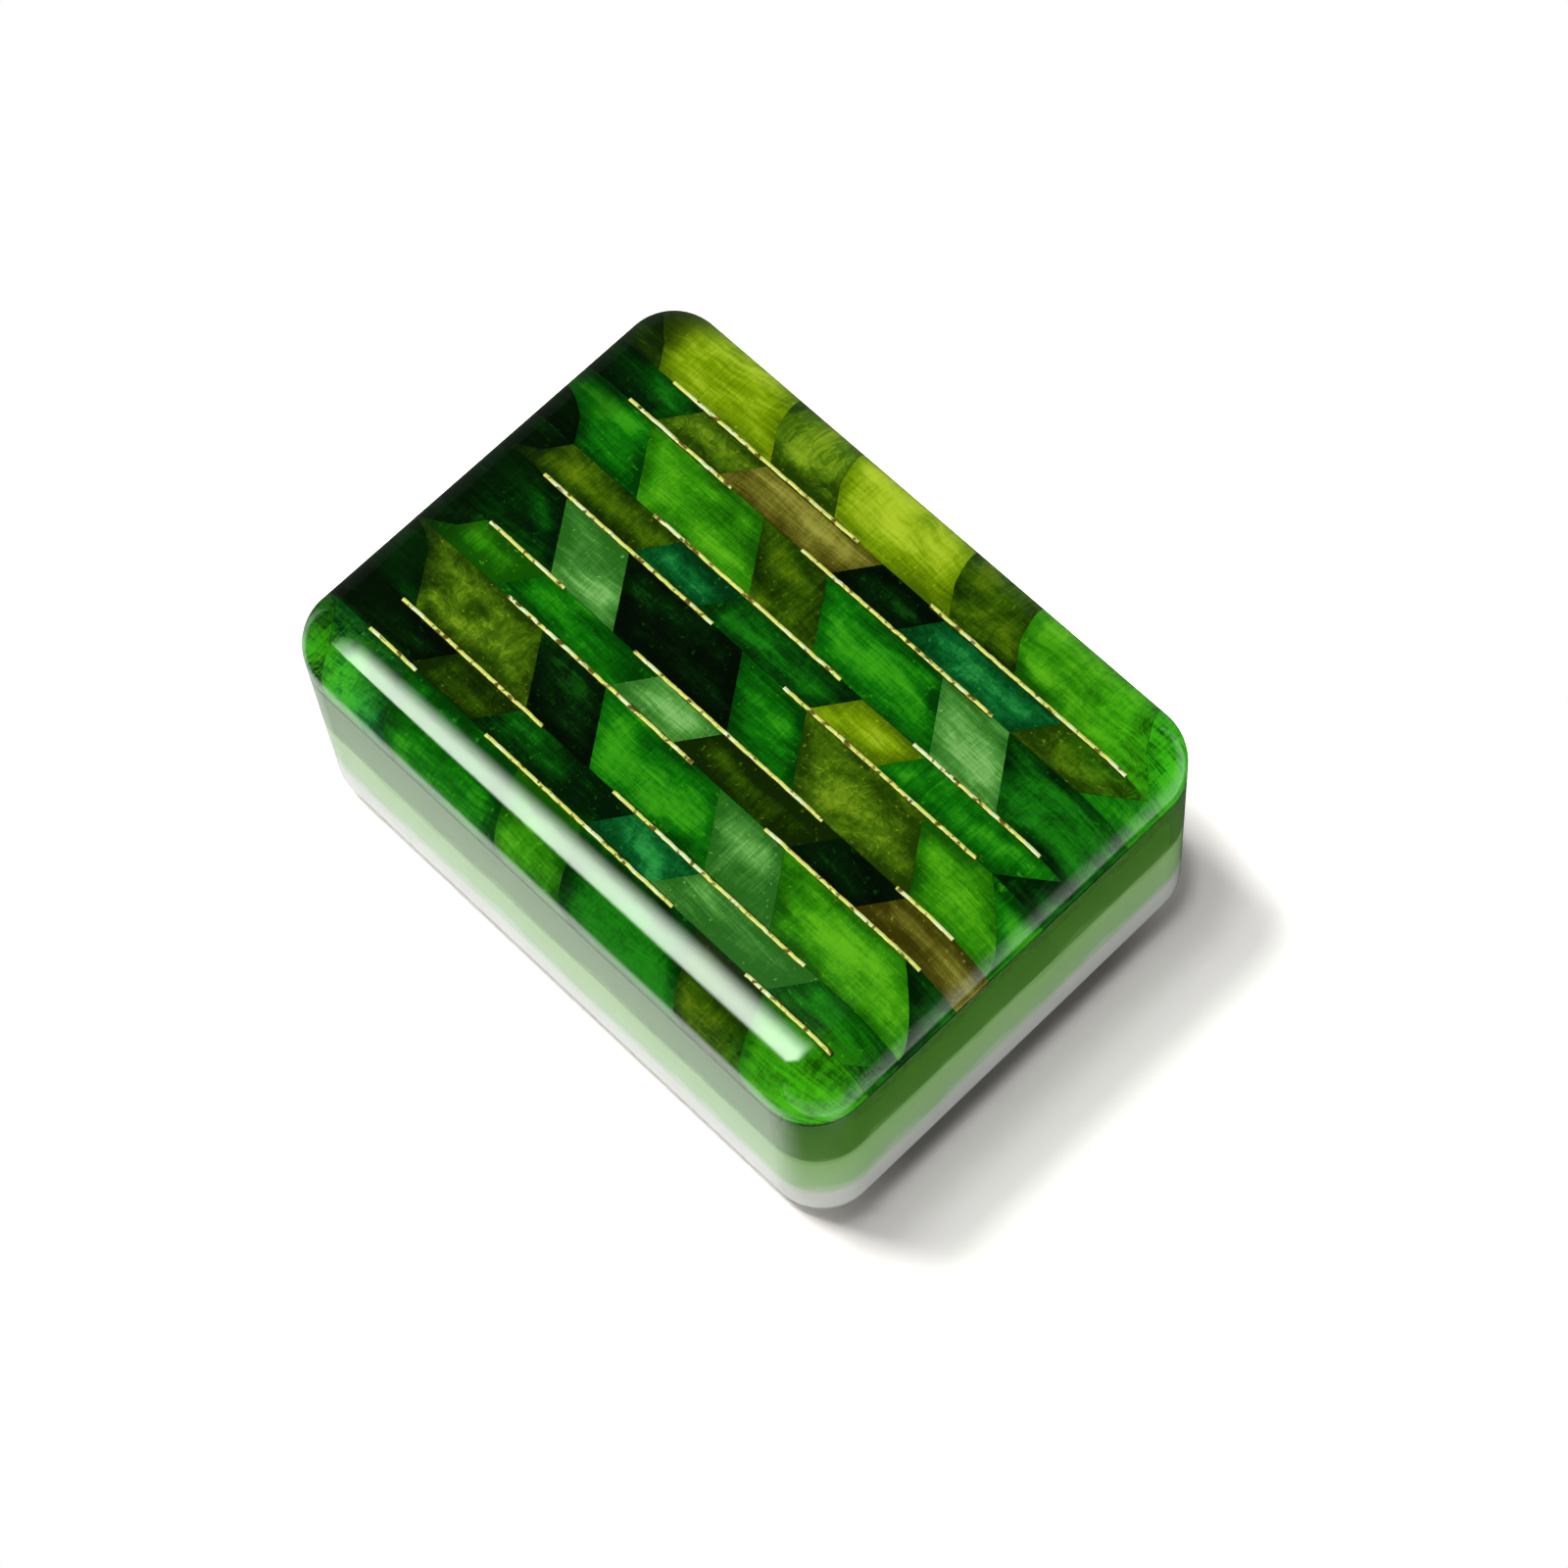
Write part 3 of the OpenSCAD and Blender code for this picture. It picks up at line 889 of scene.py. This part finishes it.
# The paper's brightness, its tint where the camera sees it, and the tint of the painted light that lifts its
# shadow
PAPER = 0.96
PAPER_TINT = (1.0, 0.962, 0.915, 1.0)
LIFT_TINT = (1.0, 0.962, 0.985, 1.0)
PLAIN = (1.0, 1.0, 1.0, 1.0)
# The floor takes the tile's shadow up to the first reach, and is plain white from the second
SHADOW_REACH = (22 * MM, 34 * MM)
# Painted light lifts what the camera sees of the floor by these shares of white over these distances from
# the tile
CLOSE_LIFT, CLOSE_REACH = 0.23, (0.1 * MM, 1.1 * MM)
WIDE_LIFT, WIDE_REACH = 0.28, (1 * MM, 3.6 * MM)
# Polished surfaces see a painted reflection of the floor: dim, but bright on two strips, as if white card
# lay on a dark table. One lies along the near long side and ends by the corner of the head end, and the
# other lies past the head end. Each rises and falls over these distances from the tile.
SIDE_RISE, SIDE_FALL, SIDE_SHARE = (-4 * MM, 1.2 * MM), (4 * MM, 9 * MM), 0.79
SIDE_END = (-4.5 * MM, 0.5 * MM)
HEAD_RISE, HEAD_FALL, HEAD_SHARE = (3 * MM, 4.6 * MM), (9 * MM, 60 * MM), 0.85
DIM_SHARE = 0.06
# Past the head end a painted shadow makes the floor darker by this share right at the tile, up to this far
# from its corners
PAINTED_SHADOW_SHARE, CONTACT_REACH, CONTACT_ENDS = 0.6, 0.75 * MM, 6 * MM


def past_outline(tree, place):
    """How far a point of the floor is from the tile's outline."""
    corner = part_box("face_plate")[1]
    straight = (corner.x - CORNER_R, corner.y - CORNER_R, corner.z)
    folded = add(tree, "ShaderNodeVectorMath", {"operation": "ABSOLUTE", "Vector": place}, "Vector")
    past = add(tree, "ShaderNodeVectorMath", {
        "operation": "SUBTRACT", "Vector": folded, "Vector_001": straight,
    }, "Vector")
    past = add(tree, "ShaderNodeVectorMath", {"operation": "MAXIMUM", "Vector": past}, "Vector")
    from_centre = add(tree, "ShaderNodeVectorMath", {"operation": "LENGTH", "Vector": past}, "Value")
    return add(tree, "ShaderNodeMath", {
        "operation": "SUBTRACT", "Value": from_centre, "Value_001": CORNER_R,
    }, "Value")


def painted_shadow_lift(tree, outside):
    """How much painted light lifts the camera's view of the floor: nothing at the tile's outline, and more
    away from it."""
    close = eased(tree, outside, *CLOSE_REACH, 0.0, CLOSE_LIFT)
    wide = eased(tree, outside, *WIDE_REACH, 0.0, WIDE_LIFT)
    return add(tree, "ShaderNodeMath", {"operation": "ADD", "Value": close, "Value_001": wide}, "Value")


def painted_contact_shadow(tree, place, outside):
    """How bright the paper is, with a painted shadow right at the middle of the tile's head end, where its
    own shadow is deepest."""
    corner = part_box("face_plate")[1]
    spot = add(tree, "ShaderNodeSeparateXYZ", {"Vector": place}).outputs
    across = add(tree, "ShaderNodeMath", {"operation": "ABSOLUTE", "Value": spot["Y"]}, "Value")
    head = eased(tree, spot["X"], corner.x - CORNER_R, corner.x, 0.0, PAINTED_SHADOW_SHARE)
    middle = eased(tree, across, corner.y, corner.y - CONTACT_ENDS, 0.0, head)
    return add(tree, "ShaderNodeMath", {
        "operation": "SUBTRACT", "Value": PAPER,
        "Value_001": eased(tree, outside, 0.0, CONTACT_REACH, middle, 0.0),
    }, "Value")


def painted_reflection_share(tree, place):
    """How much of the floor's light polished surfaces show: a painted reflection, dim but for two strips."""
    low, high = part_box("face_plate")
    spot = add(tree, "ShaderNodeSeparateXYZ", {"Vector": place}).outputs
    past_side = add(tree, "ShaderNodeMath", {
        "operation": "SUBTRACT", "Value": low.y, "Value_001": spot["Y"],
    }, "Value")
    past_head = add(tree, "ShaderNodeMath", {
        "operation": "SUBTRACT", "Value": spot["X"], "Value_001": high.x,
    }, "Value")
    side = eased(tree, past_head, *SIDE_END, SIDE_SHARE, DIM_SHARE)
    strips = []
    for value, rise, fall, full in (
        (past_side, SIDE_RISE, SIDE_FALL, side), (past_head, HEAD_RISE, HEAD_FALL, HEAD_SHARE),
    ):
        begun = eased(tree, value, *rise, DIM_SHARE, full)
        strips.append(eased(tree, value, *fall, begun, DIM_SHARE))
    return add(tree, "ShaderNodeMath", {
        "operation": "MAXIMUM", "Value": strips[0], "Value_001": strips[1],
    }, "Value")


def white_paper():
    """Matt white paper. It fades to a plain white away from the tile."""
    material, tree = start_material("white paper")
    ray = add(tree, "ShaderNodeLightPath").outputs
    place = add(tree, "ShaderNodeTexCoord", take="Object")
    away = add(tree, "ShaderNodeVectorMath", {"operation": "LENGTH", "Vector": place}, "Value")
    seen = ray["Is Camera Ray"]
    for other in ("Is Transmission Ray", "Is Glossy Ray"):
        seen = add(tree, "ShaderNodeMath", {
            "operation": "MAXIMUM", "Value": seen, "Value_001": ray[other],
        }, "Value")
    level = eased(tree, ray["Is Glossy Ray"], 0.0, 1.0, 1.0, painted_reflection_share(tree, place))
    outside = past_outline(tree, place)
    # The paper's brightness carries the painted contact shadow, and for gloss the painted reflection share
    shade = add(tree, "ShaderNodeMath", {
        "operation": "MULTIPLY", "Value": level, "Value_001": painted_contact_shadow(tree, place, outside),
    }, "Value")
    tint = add(tree, "ShaderNodeMix", {
        "data_type": "RGBA", "Factor_Float": ray["Is Camera Ray"], "A_Color": PLAIN, "B_Color": PAPER_TINT,
    }, "Result_Color")
    tinted = add(tree, "ShaderNodeVectorMath", {
        "operation": "SCALE", "Vector": tint, "Scale": shade,
    }, "Vector")
    paper = add(tree, "ShaderNodeBsdfDiffuse", {"Color": tinted}, "BSDF")
    # Painted light, seen only by the camera, lifts the floor's shadow
    painted_glow = add(tree, "ShaderNodeMath", {
        "operation": "MULTIPLY", "Value": ray["Is Camera Ray"], "Value_001": painted_shadow_lift(tree, outside),
    }, "Value")
    lift = add(tree, "ShaderNodeEmission", {"Color": LIFT_TINT, "Strength": painted_glow}, "Emission")
    near = add(tree, "ShaderNodeAddShader", {0: paper, 1: lift}, "Shader")
    white = add(tree, "ShaderNodeEmission", {"Strength": level}, "Emission")
    share = add(tree, "ShaderNodeMath", {
        "operation": "MULTIPLY", "Value": eased(tree, away, *SHADOW_REACH), "Value_001": seen,
    }, "Value")
    end_material(tree, add(tree, "ShaderNodeMixShader", {0: share, 1: near, 2: white}, "Shader"))
    return material


def make_stage():
    """A floor that turns up into a backdrop."""
    points, faces = [(0, 0, 0)], []
    for radius, z in STAGE_PROFILE_MM:
        for step in range(STAGE_STEPS):
            angle = step / STAGE_STEPS * math.tau
            points.append((radius * MM * math.cos(angle), radius * MM * math.sin(angle), z * MM))
    for step in range(STAGE_STEPS):
        after = (step + 1) % STAGE_STEPS
        faces.append((0, 1 + step, 1 + after))
        for level in range(len(STAGE_PROFILE_MM) - 1):
            low, high = 1 + level * STAGE_STEPS, 1 + (level + 1) * STAGE_STEPS
            faces.append((low + step, high + step, high + after, low + after))
    mesh = bpy.data.meshes.new("floor")
    mesh.from_pydata(points, [], faces)
    mesh.polygons.foreach_set("use_smooth", [True] * len(faces))
    floor = new_object("floor", mesh)
    dress(floor, white_paper())


def area_lamp(name, place, aim, size, radiance):
    """A soft lamp of a given radiance. The camera doesn't see it, also not through the cap, and its light
    passes the cap on shadow rays."""
    data = bpy.data.lights.new(name, "AREA")
    data.shape = "RECTANGLE"
    data.size, data.size_y = size
    data.energy = radiance * math.pi * data.size * data.size_y
    lamp = new_object(name, data)
    lamp.location = place
    lamp.rotation_euler = (Vector(aim) - Vector(place)).to_track_quat("-Z", "Y").to_euler()
    lamp.visible_camera = False
    lamp.visible_transmission = False
    return lamp


# The key hangs high over the foot end
KEY_PLACE = (-255 * MM, -75 * MM, 560 * MM)
KEY_SIZE = (140 * MM, 140 * MM)
KEY_RADIANCE = 61.0


def make_key():
    """The light that shades the tile and throws its shadow past the head end. Nothing mirrors it."""
    key = area_lamp("key", KEY_PLACE, (0, 0, 0), KEY_SIZE, KEY_RADIANCE)
    key.visible_glossy = False


# A weak fill stands low past the head end, so that the white plate doesn't sink into the tile's own shadow
FILL_PLACE = (500 * MM, 0, 130 * MM)
FILL_SIZE = (200 * MM, 100 * MM)
FILL_RADIANCE = 7.0


def make_fill():
    """Light on the head end. Nothing mirrors it."""
    fill = area_lamp("fill", FILL_PLACE, (0, 0, 0), FILL_SIZE, FILL_RADIANCE)
    fill.visible_glossy = False


# The soft box hangs level over the near long side, from X to X and from Y to Y
BOX_Z = 600 * MM
BOX_X = (-440 * MM, 60 * MM)
BOX_Y = (-900 * MM, 160 * MM)
BOX_RADIANCE = 19.0
BOX_COLOUR = "#ecfde8"
# Its light fades over these ranges on its outer side and at its end over the tile's head, whose outer corner
# is cut off on a slant from NOSE_FROM on
OUTER_FADE = (-900 * MM, -700 * MM)
HEAD_FADE = (50 * MM, -110 * MM)
NOSE_FROM = -340 * MM
NOSE_LEAN = 0.85
# Its far end fades by the direction's share along X, and its inner side leans outwards from LEAN_FROM on, by
# LEAN for each unit of that share
FAR_FADE = (-0.42, -0.41)
INNER_FADE = (160 * MM, -270 * MM)
LEAN_FROM = -0.3
LEAN = 1700 * MM


def leaned(tree, value, by, begin, lean):
    """Adds lean to a value for each unit by which another value is below begin."""
    below = add(tree, "ShaderNodeMath", {"operation": "SUBTRACT", "Value": by, "Value_001": begin}, "Value")
    below = add(tree, "ShaderNodeMath", {"operation": "MINIMUM", "Value": below, "Value_001": 0.0}, "Value")
    return add(tree, "ShaderNodeMath", {
        "operation": "MULTIPLY_ADD", "Value": below, "Value_001": -lean, "Value_002": value,
    }, "Value")


def make_soft_box():
    """The soft box that the gloss mirrors: a strip along the rolled edge, crisp on its outer side and soft
    within."""
    middle = (sum(BOX_X) / 2, sum(BOX_Y) / 2, BOX_Z)
    size = (BOX_X[1] - BOX_X[0], BOX_Y[1] - BOX_Y[0])
    box = area_lamp("soft_box", middle, (middle[0], middle[1], 0), size, BOX_RADIANCE)
    box.visible_diffuse = False
    box.data.use_nodes = True
    tree = box.data.node_tree
    place = add(tree, "ShaderNodeNewGeometry", take="Position")
    way = add(tree, "ShaderNodeVectorMath", {"operation": "NORMALIZE", "Vector": place}, "Vector")
    along = add(tree, "ShaderNodeSeparateXYZ", {"Vector": way}, "X")
    spot = add(tree, "ShaderNodeSeparateXYZ", {"Vector": place}).outputs
    nose = leaned(tree, spot["X"], spot["Y"], NOSE_FROM, NOSE_LEAN)
    inner = leaned(tree, spot["Y"], along, LEAN_FROM, LEAN)
    strength = 1.0
    for value, fade in ((spot["Y"], OUTER_FADE), (nose, HEAD_FADE), (along, FAR_FADE), (inner, INNER_FADE)):
        strength = add(tree, "ShaderNodeMath", {
            "operation": "MULTIPLY", "Value": strength, "Value_001": eased(tree, value, *fade),
        }, "Value")
    tree.nodes["Emission"].inputs["Color"].default_value = linear(BOX_COLOUR)
    tree.links.new(strength, tree.nodes["Emission"].inputs["Strength"])


SKY = 0.1
SKY_IN_GLOSS = 0.012


def make_sky():
    """A dim even sky that the camera sees white. Polished surfaces see it dimmer still, as in a studio with
    a dark ceiling."""
    world = bpy.data.worlds.new("studio")
    bpy.context.scene.world = world
    world.use_nodes = True
    tree = world.node_tree
    ray = add(tree, "ShaderNodeLightPath").outputs
    lit = add(tree, "ShaderNodeMapRange", {
        "Value": ray["Is Glossy Ray"], "To Min": SKY, "To Max": SKY_IN_GLOSS,
    }, "Result")
    strength = add(tree, "ShaderNodeMapRange", {
        "Value": ray["Is Camera Ray"], "To Min": lit, "To Max": 1.0,
    }, "Result")
    background = tree.nodes["Background"]
    background.inputs["Color"].default_value = (1, 1, 1, 1)
    tree.links.new(strength, background.inputs["Strength"])


bpy.context.scene.view_settings.view_transform = "Standard"
make_camera()
make_stage()
make_key()
make_fill()
make_soft_box()
make_sky()

# Deep, middle and bright shade of each dye, and how brushed it is
STAINS = {
    "ink": ("#020c02", "#062406", "#165810", 0.5),
    "forest": ("#021a04", "#0a500a", "#228a16", 0.6),
    "emerald": ("#023c04", "#14780a", "#46ac1c", 0.8),
    "jade": ("#023414", "#0c6830", "#36a050", 0.4),
    "leaf": ("#165402", "#3c920c", "#70c020", 0.7),
    "sage": ("#2c6a20", "#5e9e4a", "#a4d088", 1.0),
    "moss": ("#263e02", "#5a7a10", "#9cb028", 0.1),
    "olive": ("#142600", "#3c5c04", "#74880e", 0.5),
    "lime": ("#506802", "#8ca40a", "#c8d236", 0.9),
    "bronze": ("#403606", "#7a6e26", "#b4a44e", 0.9),
}
make_cap()
make_cap_adhesive()
make_slips(STAINS)
make_gold()

# Colours of the plates by height, each at a share of the plate's thickness, with painted light from the
# next plate near each joint
PLATES = {
    "dark_core": ("dark green cast acrylic", (
        (0.0, "#6ca04a"), (0.12, "#588e36"), (0.6, "#51882e"), (1.0, "#487e28"),
    )),
    "light_core": ("light green cast acrylic", (
        (0.0, "#d0e8c4"), (0.25, "#b0da9a"), (0.85, "#a6d48a"), (1.0, "#92c474"),
    )),
    "face_plate": ("white cast acrylic", (
        (0.0, "#f4f5f1"), (0.5, "#f2f4ee"), (0.85, "#eef2e9"), (1.0, "#e2ecda"),
    )),
}
for plate, (name, shades) in PLATES.items():
    low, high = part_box(plate)
    dress(nodes[plate], plate_acrylic(name, shades, low.z, high.z))
dress(nodes["inlay_backing_film"], dark_film())
dress(nodes["core_bond_film"], cured_adhesive("adhesive between the greens", "#8fbf6e"))
dress(nodes["face_bond_film"], cured_adhesive("adhesive on the face plate", "#dce9d2"))
dress(nodes["face_paint_green"], face_enamel("green enamel", "#157a3c"))
dress(nodes["face_paint_blue"], face_enamel("blue enamel", "#1c3f8f"))
dress(nodes["face_paint_red"], face_enamel("red enamel", "#c0271f"))
